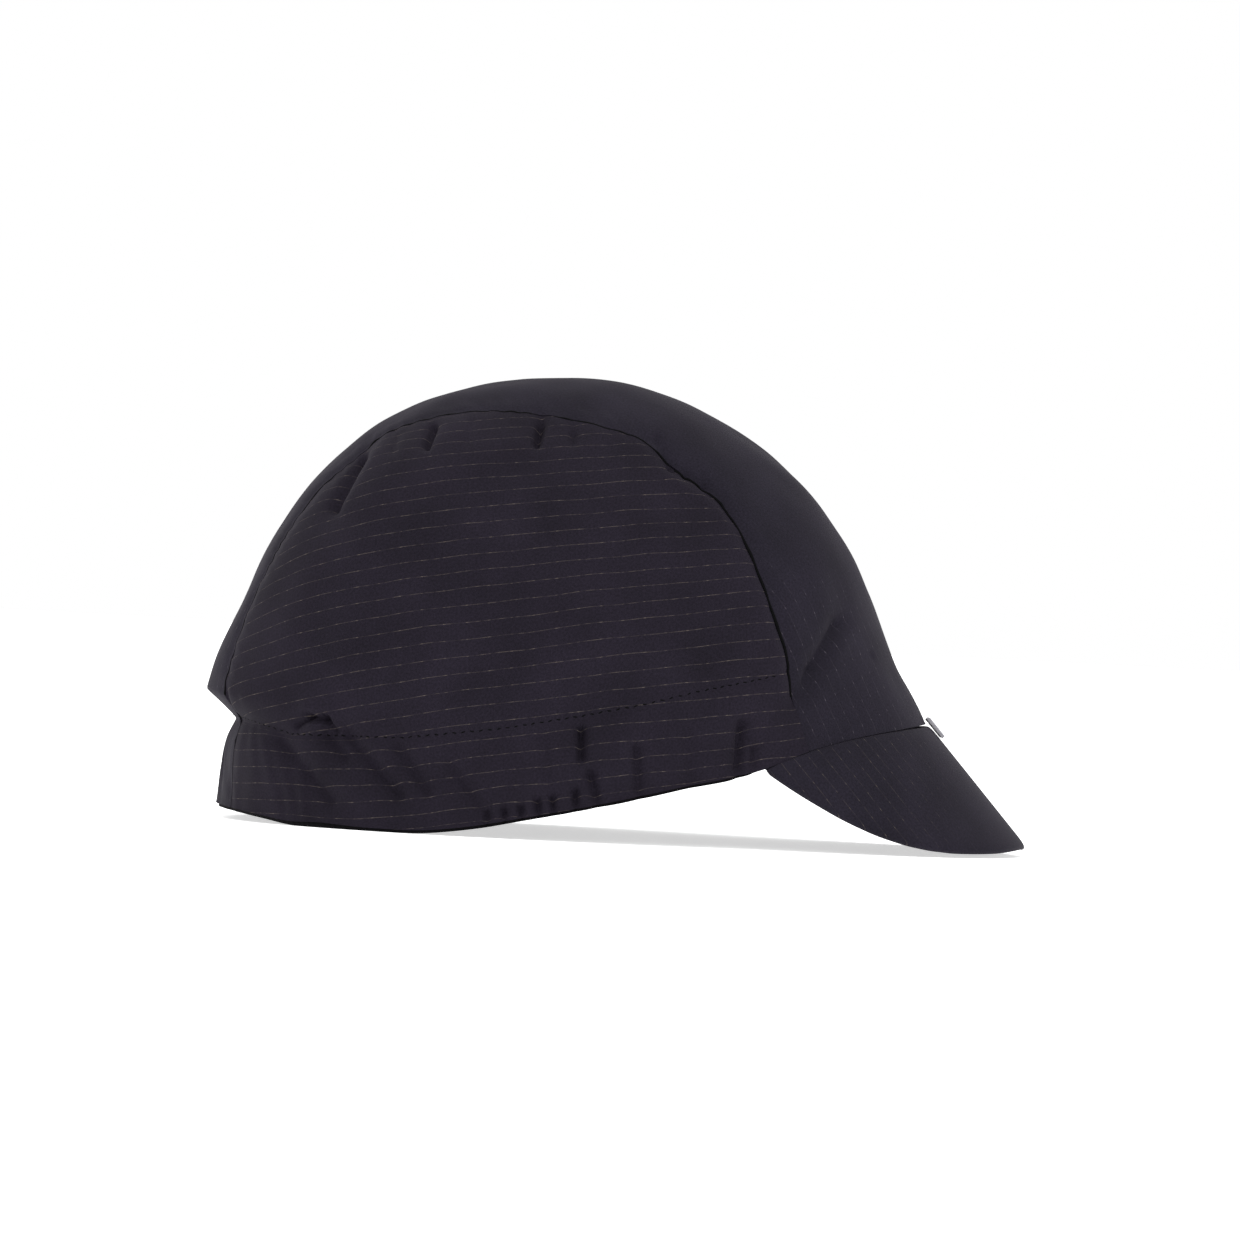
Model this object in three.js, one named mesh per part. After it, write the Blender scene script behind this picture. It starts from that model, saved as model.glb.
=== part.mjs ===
import * as THREE from 'three';

// A three-panel cycling cap of thin ripstop cloth, with a short stiff peak and a sweatband.
// It lies on a table as it does by itself, on the low stretch of its rim and on the edge of its peak.
// The wearer looks along +X, +Z is up and the cap's right side faces -Y. Lengths are in millimetres.

// Driving dimensions
const crownLength = 208; // forehead to nape, outside
const crownHeight = 131.6; // table to the top of the crown
const crownWidth = 158; // across the ears, outside
const foreheadRise = 37.2; // the rim's height above the table at the forehead
const centrePanelWidth = 119; // seam to seam across the forehead
const clothWall = 1.4; // panel cloth with its seam allowances
const seamGap = 0.36; // between two panels
const hemHeight = 27; // rim to the stitch line that holds the sweatband
const stitchGroove = 0.7; // how deep the stitch line pulls the cloth in
const stitchGrooveWidth = 3;
const stitchGrooveEnd = 80; // where the groove fades out in front of the pole
const pinchDepth = 9.9; // how far the elastic pulls the nape in at the stitch line
const pinchSpread = 45; // how far the pull reaches round the nape
const pinchDrop = 25; // how far the pull reaches below the stitch line
const pinchRise = 7.5; // and above it, under the overhanging crown
const napeRadius = 96; // from the pole to the nape, which turns the pull's angle into a length
const foldDepth = 2; // a full fold of the cloth
const foldWidth = 6;
const foldFreeWidth = 24; // across the middle of the crown, where no fold reaches
const foldFullWidth = 56; // and where the folds are at their full depth
const bandWall = 1; // sweatband
const bandClearance = 0.3;
const bandInset = 1.2; // sweatband's edges back from the rim and from the stitch line
const peakLength = 46; // root to free edge at the middle
const peakSpan = 133; // corner to corner
const peakWall = 2.4;
const peakDroop = 48.4; // slope below the level, in degrees
const peakClearance = 0.3;
const peakCornerLength = 1;
const tabLength = 7; // folded label at the middle of the peak's root
const tabWidth = 15;
const tabWall = 1;
const tabClearance = 0.3;

// How finely the cloth is faceted
const hemRows = 4;
const archColumns = 44;
const sideRows = 9;
const centreColumns = 12;
const peakColumns = 28;
const peakRows = 7;
const tabColumns = 4;
const samplesPerFacet = 12; // of a curve that is divided evenly
const smallestEdge = 1e-4;
const slopeStep = 0.05; // to either side, for the smooth form's direction
const normalSpread = 0.8; // to either side, for the folded cloth's direction
const seamStep = 0.01; // of the half width, for the slope of the cloth beside a seam
const widestCorner = 80; // the peak's corners are in front of this angle, in degrees

// The crown's middle line in the side view: turn is the ray's angle in degrees from the forehead side,
// reach its length as a share of the crown's length and height. All rays start at the pole.
const poleHeight = -0.06 * crownHeight;
const centreLine = [
  { turn: 20, reach: 0.592 },
  { turn: 27, reach: 0.61 },
  { turn: 33.3, reach: 0.627 },
  { turn: 38, reach: 0.64 },
  { turn: 42, reach: 0.656 },
  { turn: 50, reach: 0.706 },
  { turn: 57, reach: 0.778 },
  { turn: 62, reach: 0.836 },
  { turn: 68.5, reach: 0.91 },
  { turn: 75.5, reach: 0.986 },
  { turn: 81, reach: 1.034 },
  { turn: 86, reach: 1.057 },
  { turn: 90.5, reach: 1.061 },
  { turn: 95, reach: 1.049 },
  { turn: 100, reach: 1.024 },
  { turn: 105, reach: 0.983 },
  { turn: 112, reach: 0.898 },
  { turn: 119, reach: 0.806 },
  { turn: 129, reach: 0.696 },
  { turn: 140, reach: 0.621 },
  { turn: 151, reach: 0.556 },
  { turn: 163, reach: 0.491 },
  { turn: 176, reach: 0.45 },
];

// How full the crown is across, at each turn: 2 is an ellipse, more is squarer
const fullness = [
  { turn: 20, power: 2.15 },
  { turn: 40, power: 2.2 },
  { turn: 65, power: 2.5 },
  { turn: 115, power: 2.5 },
  { turn: 150, power: 2.2 },
  { turn: 176, power: 2.15 },
];

// The rim in the side view: along as a share of the crown's length from the pole, rise of foreheadRise
const rimLine = [
  { along: -0.56, rise: 0.1 },
  { along: -0.454, rise: 0.084 },
  { along: -0.39, rise: 0.04 },
  { along: -0.335, rise: 0 },
  { along: -0.19, rise: 0 },
  { along: -0.107, rise: 0.048 },
  { along: -0.027, rise: 0.142 },
  { along: 0.079, rise: 0.277 },
  { along: 0.185, rise: 0.433 },
  { along: 0.29, rise: 0.6 },
  { along: 0.318, rise: 0.69 },
  { along: 0.355, rise: 0.782 },
  { along: 0.412, rise: 0.884 },
  { along: 0.482, rise: 0.97 },
  { along: 0.56, rise: 1.03 },
];

// The hem's stitch line in the side view: height above the rim as a share of hemHeight
const hemLine = [
  { along: -0.56, height: 0.945 },
  { along: -0.454, height: 0.945 },
  { along: -0.36, height: 0.93 },
  { along: -0.27, height: 0.97 },
  { along: -0.18, height: 1 },
  { along: 0.1, height: 1 },
  { along: 0.2, height: 0.99 },
  { along: 0.29, height: 0.96 },
  { along: 0.35, height: 0.94 },
  { along: 0.56, height: 0.94 },
];

// The seam between the centre panel and a side panel: width as a share of centrePanelWidth
const seamLine = [
  { turn: 20, width: 1 },
  { turn: 38, width: 1 },
  { turn: 50, width: 1 },
  { turn: 61, width: 1 },
  { turn: 65, width: 0.975 },
  { turn: 69, width: 0.93 },
  { turn: 72, width: 0.885 },
  { turn: 75, width: 0.84 },
  { turn: 77.5, width: 0.825 },
  { turn: 80.3, width: 0.82 },
  { turn: 83, width: 0.76 },
  { turn: 87, width: 0.73 },
  { turn: 92, width: 0.665 },
  { turn: 95.5, width: 0.61 },
  { turn: 99, width: 0.55 },
  { turn: 103, width: 0.485 },
  { turn: 107, width: 0.435 },
  { turn: 111, width: 0.43 },
  { turn: 117, width: 0.455 },
  { turn: 122, width: 0.455 },
  { turn: 127, width: 0.445 },
  { turn: 132, width: 0.465 },
  { turn: 137, width: 0.515 },
  { turn: 144, width: 0.54 },
  { turn: 162, width: 0.52 },
  { turn: 176, width: 0.49 },
];

// Folds of the crown on each side, from one end to the other: x as a share of the crown's length,
// z of its height above the table, depth of foldDepth and width of foldWidth. The first three are
// pleats of the side panel at its seam, then a crease there and the tuck over the forehead's hem.
const crownFolds = [
  { fromX: -0.29, fromZ: 0.8, toX: -0.31, toZ: 0.69, depth: 1, width: 0.9 },
  { fromX: -0.185, fromZ: 0.868, toX: -0.187, toZ: 0.835, depth: 0.5, width: 0.6 },
  { fromX: -0.036, fromZ: 0.9, toX: -0.038, toZ: 0.86, depth: 0.6, width: 0.6 },
  { fromX: 0.15, fromZ: 0.8, toX: 0.195, toZ: 0.765, depth: 0.4, width: 0.6 },
  { fromX: 0.345, fromZ: 0.33, toX: 0.4, toZ: 0.5, depth: 0.7, width: 1.1 },
];

// Folds of the hem on each side, in the same way, with z as a share of the hem's height above the rim
const hemFolds = [
  { fromX: -0.363, fromZ: 0.83, toX: -0.289, toZ: 0.3, depth: 0.7, width: 1 },
  { fromX: -0.301, fromZ: 0.98, toX: -0.276, toZ: 0.76, depth: 0.5, width: 0.7 },
  { fromX: -0.276, fromZ: 0.98, toX: -0.196, toZ: 0.42, depth: 0.7, width: 1 },
  { fromX: -0.2, fromZ: 0.88, toX: -0.16, toZ: 0.46, depth: 0.5, width: 1 },
  { fromX: -0.131, fromZ: 0.6, toX: -0.091, toZ: 0.2, depth: 0.4, width: 1 },
  { fromX: 0.073, fromZ: 0.78, toX: 0.087, toZ: 0.12, depth: 0.8, width: 0.8 },
  { fromX: 0.125, fromZ: 0.3, toX: 0.129, toZ: 0.1, depth: 0.4, width: 0.7 },
  { fromX: 0.271, fromZ: 0.45, toX: 0.276, toZ: 0.1, depth: 0.4, width: 0.8 },
];

// The peak's free edge: across as a share of half its root, reach as a share of the way from its corners
const peakEdge = [
  { across: 0, reach: 1 },
  { across: 0.2, reach: 0.97 },
  { across: 0.36, reach: 0.925 },
  { across: 0.5, reach: 0.853 },
  { across: 0.64, reach: 0.75 },
  { across: 0.72, reach: 0.668 },
  { across: 0.79, reach: 0.573 },
  { across: 0.86, reach: 0.445 },
  { across: 0.93, reach: 0.265 },
  { across: 1, reach: 0 },
];

const cloth = { color: 0x2b2830, roughness: 0.82, metalness: 0 };
const peakCloth = { color: 0x2f2d35, roughness: 0.78, metalness: 0 };
const bandCloth = { color: 0x1d1b20, roughness: 0.9, metalness: 0 };
const tabTape = { color: 0x8e8f94, roughness: 0.5, metalness: 0 };

const { degToRad, radToDeg, clamp, lerp, smoothstep } = THREE.MathUtils;

// A smooth curve through the rows of a table, level wherever two neighbouring rows are equal
function smoothTable(rows, key, value) {
  const steps = rows.slice(1).map((row, i) => {
    const width = row[key] - rows[i][key];
    return { width, slope: (row[value] - rows[i][value]) / width };
  });
  const slopes = rows.map((row, i) => {
    const before = steps[Math.max(i - 1, 0)];
    const after = steps[Math.min(i, steps.length - 1)];
    if (before.slope * after.slope === 0) return 0;
    return (before.slope * after.width + after.slope * before.width) / (before.width + after.width);
  });
  return (at) => {
    const inside = clamp(at, rows[0][key], rows[rows.length - 1][key]);
    const i = Math.min(rows.findLastIndex((row) => row[key] <= inside), steps.length - 1);
    const { width } = steps[i];
    const t = (inside - rows[i][key]) / width;
    const curve = (3 - 2 * t) * t * t;
    const ends = lerp(rows[i][value], rows[i + 1][value], curve);
    return ends + width * t * (1 - t) * ((1 - t) * slopes[i] - t * slopes[i + 1]);
  };
}

// The value between low and high at which a rising function passes zero
function whereZero(rising, low, high) {
  let [below, above] = [low, high];
  for (let halving = 0; halving < 48; halving += 1) {
    const middle = (below + above) / 2;
    if (rising(middle) < 0) below = middle;
    else above = middle;
  }
  return (below + above) / 2;
}

// Points at equal distances along a curve that is given by a function of 0 to 1
function evenly(pointAt, count) {
  const last = samplesPerFacet * count;
  const samples = Array.from({ length: last + 1 }, (_, i) => pointAt(i / last));
  const travelled = [0];
  samples.slice(1).forEach((point, i) => travelled.push(travelled[i] + point.distanceTo(samples[i])));
  const total = travelled[travelled.length - 1];
  return Array.from({ length: count + 1 }, (_, k) => {
    const goal = (total * k) / count;
    const i = Math.min(travelled.findLastIndex((length) => length <= goal), samples.length - 2);
    const step = travelled[i + 1] - travelled[i];
    return samples[i].clone().lerp(samples[i + 1], step > 0 ? (goal - travelled[i]) / step : 0);
  });
}

const reachAt = smoothTable(centreLine, 'turn', 'reach');
const powerAt = smoothTable(fullness, 'turn', 'power');
const riseShareAt = smoothTable(rimLine, 'along', 'rise');
const hemShareAt = smoothTable(hemLine, 'along', 'height');
const seamShareAt = smoothTable(seamLine, 'turn', 'width');
const edgeShareAt = smoothTable(peakEdge, 'across', 'reach');

const rimHeight = (x) => foreheadRise * riseShareAt(x / crownLength);
const hemAt = (x) => hemHeight * hemShareAt(x / crownLength);
// How high a point is on the hem: 0 at the rim, 1 at the stitch line
const climbOf = (point) => (point.z - rimHeight(point.x)) / hemAt(point.x);
const turnOf = (x, z) => radToDeg(Math.atan2((z - poleHeight) / crownHeight, x / crownLength));
const seamHalf = (turn) => (centrePanelWidth / crownWidth) * seamShareAt(turn);

// Below 0 inside the crown's smooth form, 0 on it
function crownLevel({ x, y, z }) {
  const reach = Math.hypot(x / crownLength, (z - poleHeight) / crownHeight);
  const turn = turnOf(x, z);
  const power = powerAt(turn);
  return (reach / reachAt(turn)) ** power + (Math.abs(y) / (crownWidth / 2)) ** power - 1;
}

// What is left of 1 in the crown's section once the other share is taken
const remaining = (share, power) => (1 - Math.abs(share) ** power) ** (1 / power);

// The smooth form at a ray's turn and at a share of the half width, from -1 on the right to 1
function crownAt(turn, half) {
  const reach = remaining(half, powerAt(turn)) * reachAt(turn);
  const [x, z] = [Math.cos(degToRad(turn)) * reach, Math.sin(degToRad(turn)) * reach];
  return new THREE.Vector3(x * crownLength, (half * crownWidth) / 2, poleHeight + z * crownHeight);
}

// The smooth form on one side, at a place in the side view
function sideAt(x, z, side) {
  const turn = turnOf(x, z);
  const reach = Math.hypot(x / crownLength, (z - poleHeight) / crownHeight);
  const half = remaining(Math.min(reach / reachAt(turn), 1), powerAt(turn));
  return new THREE.Vector3(x, (side * half * crownWidth) / 2, z);
}

// The smooth form at a climb up the hem, on a line that starts inside at (0, y)
function ringAt(y, direction, climb) {
  const along = (length) => {
    const x = direction.x * length;
    return new THREE.Vector3(x, y + direction.y * length, rimHeight(x) + climb * hemAt(x));
  };
  return along(whereZero((length) => crownLevel(along(length)), 0, crownLength));
}

// The form's outward direction. Towards the rim it turns level, so that the rim's underside is flat.
function outwardAt(point) {
  const slope = (axis) => {
    const shift = new THREE.Vector3().setComponent(axis, slopeStep);
    return crownLevel(point.clone().add(shift)) - crownLevel(point.clone().sub(shift));
  };
  const upright = clamp(climbOf(point), 0, 1);
  return new THREE.Vector3(slope(0), slope(1), slope(2) * upright).normalize();
}

// The depth of a table's folds at a place that is given in the table's own shares
function foldsAt(place, folds, height) {
  const size = new THREE.Vector3(crownLength, 1, height);
  const at = place.clone().multiply(size);
  return folds.reduce((sum, { fromX, fromZ, toX, toZ, depth, width }) => {
    const from = new THREE.Vector3(fromX, 0, fromZ).multiply(size);
    const to = new THREE.Vector3(toX, 0, toZ).multiply(size);
    const nearest = new THREE.Line3(from, to).closestPointToPoint(at, true, new THREE.Vector3());
    return sum + foldDepth * depth * Math.exp(-((at.distanceTo(nearest) / (foldWidth * width)) ** 2));
  }, 0);
}

// How far the cloth is pulled in from the smooth form
function dentAt(point) {
  const climb = climbOf(point);
  const aboveStitches = (climb - 1) * hemAt(point.x);
  const beyond = aboveStitches < 0 ? -aboveStitches / pinchDrop : aboveStitches / pinchRise;
  const round = napeRadius * Math.atan2(Math.abs(point.y), -point.x);
  const pinch = pinchDepth * Math.max(0, 1 - beyond) * Math.exp(-((round / pinchSpread) ** 2));
  const fading = clamp((stitchGrooveEnd - point.x) / stitchGrooveEnd, 0, 1);
  const groove = stitchGroove * fading * Math.exp(-((aboveStitches / stitchGrooveWidth) ** 2));
  const inCrown = new THREE.Vector3(point.x / crownLength, 0, point.z / crownHeight);
  const inHem = new THREE.Vector3(point.x / crownLength, 0, climb);
  const folds = foldsAt(inCrown, crownFolds, crownHeight) + foldsAt(inHem, hemFolds, hemHeight);
  const aside = smoothstep(Math.abs(point.y), foldFreeWidth / 2, foldFullWidth / 2);
  return pinch + groove + aside * folds;
}

const folded = (point) => point.clone().addScaledVector(outwardAt(point), -dentAt(point));

// The folded cloth's outward direction, from four folded points close by
function clothNormal(point) {
  const outward = outwardAt(point);
  const level = new THREE.Vector3(0, 0, 1).cross(outward).normalize();
  const climbing = outward.clone().cross(level).normalize();
  const change = (direction) => {
    const ahead = folded(point.clone().addScaledVector(direction, normalSpread));
    return ahead.sub(folded(point.clone().addScaledVector(direction, -normalSpread)));
  };
  const normal = change(level).cross(change(climbing)).normalize();
  normal.z *= clamp(2 * climbOf(point), 0, 1);
  return normal.normalize();
}

const clothAt = (point, depth) => folded(point).addScaledVector(clothNormal(point), -depth);

// A closed wall from two grids of points, the outer one and the inner one
function wallGeometry(outer, inner, joinsItself) {
  const [rows, columns] = [outer.length, outer[0].length];
  const positions = [];
  const triangle = (a, b, c) => {
    const shortest = Math.min(a.distanceTo(b), b.distanceTo(c), c.distanceTo(a));
    if (shortest > smallestEdge) positions.push(...a.toArray(), ...b.toArray(), ...c.toArray());
  };
  const quad = (a, b, c, d) => {
    triangle(a, b, c);
    triangle(a, c, d);
  };
  const lastColumn = joinsItself ? columns : columns - 1;
  for (let i = 0; i < lastColumn; i += 1) {
    const next = (i + 1) % columns;
    for (let j = 0; j < rows - 1; j += 1) {
      quad(outer[j][i], outer[j][next], outer[j + 1][next], outer[j + 1][i]);
      quad(inner[j][i], inner[j + 1][i], inner[j + 1][next], inner[j][next]);
    }
    quad(outer[0][next], outer[0][i], inner[0][i], inner[0][next]);
    quad(outer[rows - 1][i], outer[rows - 1][next], inner[rows - 1][next], inner[rows - 1][i]);
  }
  if (!joinsItself) {
    for (let j = 0; j < rows - 1; j += 1) {
      const end = columns - 1;
      quad(outer[j][0], outer[j + 1][0], inner[j + 1][0], inner[j][0]);
      quad(outer[j + 1][end], outer[j][end], inner[j][end], inner[j + 1][end]);
    }
  }
  const geometry = new THREE.BufferGeometry();
  geometry.setAttribute('position', new THREE.Float32BufferAttribute(positions, 3));
  geometry.computeVertexNormals();
  return geometry;
}

const gridOf = (grid, shape) => grid.map((row) => row.map(shape));

function clothPanel(grid) {
  const outer = gridOf(grid, (point) => clothAt(point, 0));
  const inner = gridOf(grid, (point) => clothAt(point, clothWall));
  return wallGeometry(outer, inner, false);
}

// The share of the half width that is half the seam's gap, on the sloping cloth beside the seam
function halfGapAt(turn) {
  const half = seamHalf(turn);
  const length = crownAt(turn, half + seamStep).distanceTo(crownAt(turn, half - seamStep));
  return (seamGap / 2) * ((2 * seamStep) / length);
}

// The seam's stations: up the forehead's hem, over the crown to the overhang and down the nape's hem.
// Each has its turn, and the hem's stations their climb up the hem.
function seamStations() {
  const stationAt = (climb, end) => {
    const climbAt = (share) => {
      const turn = lerp(end, 90, share);
      return climbOf(crownAt(turn, seamHalf(turn)));
    };
    return { turn: lerp(end, 90, whereZero((share) => climbAt(share) - climb, 0, 1)), climb };
  };
  const [foreheadEnd, napeEnd] = [centreLine[0].turn, centreLine[centreLine.length - 1].turn];
  const climbs = Array.from({ length: hemRows + 1 }, (_, i) => i / hemRows);
  const front = climbs.map((climb) => stationAt(climb, foreheadEnd));
  const back = climbs.map((climb) => stationAt(climb, napeEnd)).reverse();
  const overhang = stationAt(1 + pinchRise / hemHeight, napeEnd);
  const arch = evenly((share) => {
    const turn = lerp(front[hemRows].turn, overhang.turn, share);
    return crownAt(turn, seamHalf(turn));
  }, archColumns - 1);
  const middle = arch.slice(1).map((point) => ({ turn: turnOf(point.x, point.z) }));
  return [...front, ...middle, ...back];
}

// A point of the seam, moved to one of its two sides: 1 for a side panel's edge, -1 for the centre's
function seamPoint(station, side, towards) {
  const half = seamHalf(station.turn) + towards * halfGapAt(station.turn);
  if (station.climb === undefined) return crownAt(station.turn, side * half);
  const direction = new THREE.Vector2(station.turn < 90 ? 1 : -1, 0);
  return ringAt((side * half * crownWidth) / 2, direction, station.climb);
}

function evenShares(count, low, high) {
  return Array.from({ length: count + 1 }, (_, i) => lerp(low, high, i / count));
}

// A level row of the hem across the centre panel, from the right seam to the left
function hemAcross(station, climb) {
  const edge = seamPoint(station, 1, -1).y;
  const direction = new THREE.Vector2(station.turn < 90 ? 1 : -1, 0);
  return evenShares(centreColumns, -edge, edge).map((y) => ringAt(y, direction, climb));
}

// A row of the hem along a side panel, from the nape to the forehead
function hemAlong(back, front, climb, side) {
  return evenly((share) => {
    const x = lerp(back.x, front.x, share);
    return sideAt(x, rimHeight(x) + climb * hemAt(x), side);
  }, archColumns);
}

// Rows from the forehead's rim over the crown to the nape's rim, each from the right seam to the left
function centreGrid(stations) {
  const [front, back] = [stations[hemRows], stations[stations.length - 1 - hemRows]];
  const turnsOf = (station) => hemAcross(station, 1).map((point) => turnOf(point.x, point.z));
  const [frontTurns, backTurns] = [turnsOf(front), turnsOf(back)];
  return stations.map((station) => {
    if (station.climb !== undefined) return hemAcross(station, station.climb);
    const along = (station.turn - front.turn) / (back.turn - front.turn);
    const half = seamPoint(station, 1, -1).y / (crownWidth / 2);
    const shares = evenShares(centreColumns, -half, half);
    return shares.map((share, i) => crownAt(lerp(frontTurns[i], backTurns[i], along), share));
  });
}

// Rows from the rim up to the seam, each from the nape to the forehead
function sideGrid(stations, side) {
  const edge = stations.map((station) => seamPoint(station, side, 1));
  const count = edge.length - 1;
  const climbs = evenShares(hemRows, 0, 1);
  const hem = climbs.map((climb, row) => hemAlong(edge[count - row], edge[row], climb, side));
  const columns = hem[hemRows].map((foot, i) => {
    const top = edge[count - hemRows - i];
    const height = Math.hypot(top.x - foot.x, top.z - foot.z);
    const overhang = height > 0 ? Math.min(pinchRise / height, 1 / 2) : 0;
    const climbing = (share) => sideAt(lerp(foot.x, top.x, share), lerp(foot.z, top.z, share), side);
    const upper = evenly((share) => climbing(lerp(overhang, 1, share)), sideRows);
    return [...upper.slice(0, sideRows), top];
  });
  const crown = columns[0].map((_, row) => columns.map((column) => column[row]));
  return [...hem, ...crown];
}

function sidePanel(stations, side) {
  const grid = sideGrid(stations, side);
  return clothPanel(side < 0 ? grid : grid.map((row) => [...row].reverse()));
}

// The sweatband lines the hem all round, in one ring from the nape's right seam
function sweatband(stations) {
  const inset = bandInset / hemHeight;
  const climbs = evenShares(hemRows, 0, 1).map((climb) => clamp(climb, inset, 1 - inset));
  const count = stations.length - 1;
  const grid = climbs.map((climb, row) => {
    const [front, back] = [stations[row], stations[count - row]];
    const edges = (side) => [seamPoint(back, side, 1), seamPoint(front, side, 1)];
    const [right, left] = [-1, 1].map((side) => hemAlong(...edges(side), climb, side));
    const [forehead, nape] = [front, back].map((station) => hemAcross(station, climb).slice(1, -1));
    return [...right, ...forehead, ...left.reverse(), ...nape.reverse()];
  });
  const depth = clothWall + bandClearance;
  const outer = gridOf(grid, (point) => clothAt(point, depth));
  const inner = gridOf(grid, (point) => clothAt(point, depth + bandWall));
  return wallGeometry(outer, inner, true);
}

// The peak's root lies just under the rim, from the right corner to the left one
function peakRoot() {
  const rootAt = (angle) => {
    const rim = ringAt(0, new THREE.Vector2(Math.cos(angle), Math.sin(angle)), 0);
    return rim.setZ(rim.z - peakClearance);
  };
  const corner = whereZero((angle) => rootAt(angle).y - peakSpan / 2, 0, degToRad(widestCorner));
  return (share) => rootAt(lerp(-corner, corner, share));
}

const peakSlope = new THREE.Vector3(Math.cos(degToRad(peakDroop)), 0, -Math.sin(degToRad(peakDroop)));

// The peak is a bent sheet, straight down its slope
function peakGrid() {
  const root = evenly(peakRoot(), peakColumns);
  const middle = root[peakColumns / 2];
  const levelOf = (point) => point.clone().sub(middle).dot(peakSlope);
  const cornerLevel = levelOf(root[0]);
  return root.map((point, i) => {
    const across = Math.abs((2 * i) / peakColumns - 1);
    const edgeLevel = cornerLevel + (peakLength - cornerLevel) * edgeShareAt(across);
    const length = Math.max(edgeLevel - levelOf(point), peakCornerLength);
    const along = root[Math.min(i + 1, peakColumns)].clone().sub(root[Math.max(i - 1, 0)]);
    const up = peakSlope.clone().cross(along).normalize();
    return { root: point, length, up };
  });
}

function peak() {
  const columns = peakGrid();
  const shares = Array.from({ length: peakRows + 1 }, (_, i) => 1 - i / peakRows);
  const layer = (depth) => shares.map((share) => columns.map(({ root, length, up }) =>
    root.clone().addScaledVector(peakSlope, share * length).addScaledVector(up, -depth)));
  return wallGeometry(layer(0), layer(peakWall), false);
}

// The folded label lies across the middle of the peak, just below the seam
function frontTab() {
  const ahead = new THREE.Vector2(1, 0);
  const root = evenShares(tabColumns, -tabWidth / 2, tabWidth / 2).map((y) => {
    const rim = ringAt(y, ahead, 0);
    return rim.setZ(rim.z - peakClearance);
  });
  const columns = root.map((point, i) => {
    const along = root[Math.min(i + 1, tabColumns)].clone().sub(root[Math.max(i - 1, 0)]);
    return { point, up: peakSlope.clone().cross(along).normalize() };
  });
  const layer = (height) => [tabClearance + tabLength, tabClearance].map((down) =>
    columns.map(({ point, up }) =>
      point.clone().addScaledVector(peakSlope, down).addScaledVector(up, height)));
  return wallGeometry(layer(tabClearance + tabWall), layer(tabClearance), false);
}

function piece(name, geometry, finish) {
  const mesh = new THREE.Mesh(geometry, new THREE.MeshStandardMaterial(finish));
  mesh.name = name;
  return mesh;
}

const stations = seamStations();
const cap = new THREE.Group();
cap.add(
  piece('centre_panel', clothPanel(centreGrid(stations)), cloth),
  piece('side_panel_right', sidePanel(stations, -1), cloth),
  piece('side_panel_left', sidePanel(stations, 1), cloth),
  piece('sweatband', sweatband(stations), bandCloth),
  piece('peak', peak(), peakCloth),
  piece('front_tab', frontTab(), tabTape),
);

// The origin is on the table, under the middle of the cap
const box = new THREE.Box3().setFromObject(cap);
const middle = box.getCenter(new THREE.Vector3());
cap.position.set(-middle.x, -middle.y, -box.min.z);

export default cap;
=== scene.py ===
import math

import bpy
import numpy as np
from mathutils import Matrix, Quaternion, Vector, kdtree, noise
from mathutils.bvhtree import BVHTree


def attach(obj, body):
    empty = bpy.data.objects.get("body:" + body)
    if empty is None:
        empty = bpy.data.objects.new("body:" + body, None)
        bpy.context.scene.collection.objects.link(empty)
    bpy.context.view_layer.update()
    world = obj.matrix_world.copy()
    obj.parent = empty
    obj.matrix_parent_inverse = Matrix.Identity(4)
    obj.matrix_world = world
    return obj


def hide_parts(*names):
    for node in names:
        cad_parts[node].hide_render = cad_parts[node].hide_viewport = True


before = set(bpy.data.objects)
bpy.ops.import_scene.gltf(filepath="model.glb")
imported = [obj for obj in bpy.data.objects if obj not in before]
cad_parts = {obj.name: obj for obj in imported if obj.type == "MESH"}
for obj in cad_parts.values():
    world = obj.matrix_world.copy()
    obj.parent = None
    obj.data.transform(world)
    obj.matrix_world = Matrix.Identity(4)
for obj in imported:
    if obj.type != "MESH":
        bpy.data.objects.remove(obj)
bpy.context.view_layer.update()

MM = 0.001
# How thick the walls of the solids are
CLOTH_WALL = 1.4 * MM
BAND_WALL = 1.0 * MM
PEAK_WALL = 2.4 * MM
TAPE_WALL = 1.0 * MM
# The crown is close to an ellipsoid with these half sizes round this point
HEAD_CENTRE = Vector((-0.019, 0.0, 0.03))
CROWN_RADII = np.array([0.104, 0.079, 0.1])


# Materials

# A Wave texture of scale 1 has a band every 0.314159
WAVE_BAND = 0.314159
# Ripstop's heavier threads are this wide, with a bright point this long, this far apart
THREAD_MM = 0.24
POINT_MM, POINT_SPACING_MM = 0.9, 6.1
# The scales of ripstop's noises are 1 over their size in metres. The threads waver every 17 mm, by
# up to 1.1 mm, their light comes and goes every 2.4 mm along them, and the dye is uneven every
# 22 mm. The ground weave is 0.25 mm, too fine to show, so it is drawn at about 0.7 mm
WAVER_SCALE, WAVER = 60.0, 1.1 * MM
DASH_SCALE = (420.0, 190.0, 1.0)
BLOTCH_SCALE = 45.0
WEAVE_SCALE = 1500.0
# The twist of the thread is 0.4 mm
TWIST_SCALE = 2500.0
# How high the threads and loops stand for the light, and how much of it cloth throws back
RELIEF, THREAD_RELIEF = 0.2 * MM, 0.1 * MM
CLOTH_SPECULAR, THREAD_SPECULAR = 0.08, 0.05


def linear(hex_colour):
    """An sRGB hex colour as the linear colour that a shader takes."""
    shares = [int(hex_colour[i:i + 2], 16) / 255 for i in (1, 3, 5)]
    return [c / 12.92 if c <= 0.04045 else ((c + 0.055) / 1.055) ** 2.4 for c in shares] + [1.0]


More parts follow.
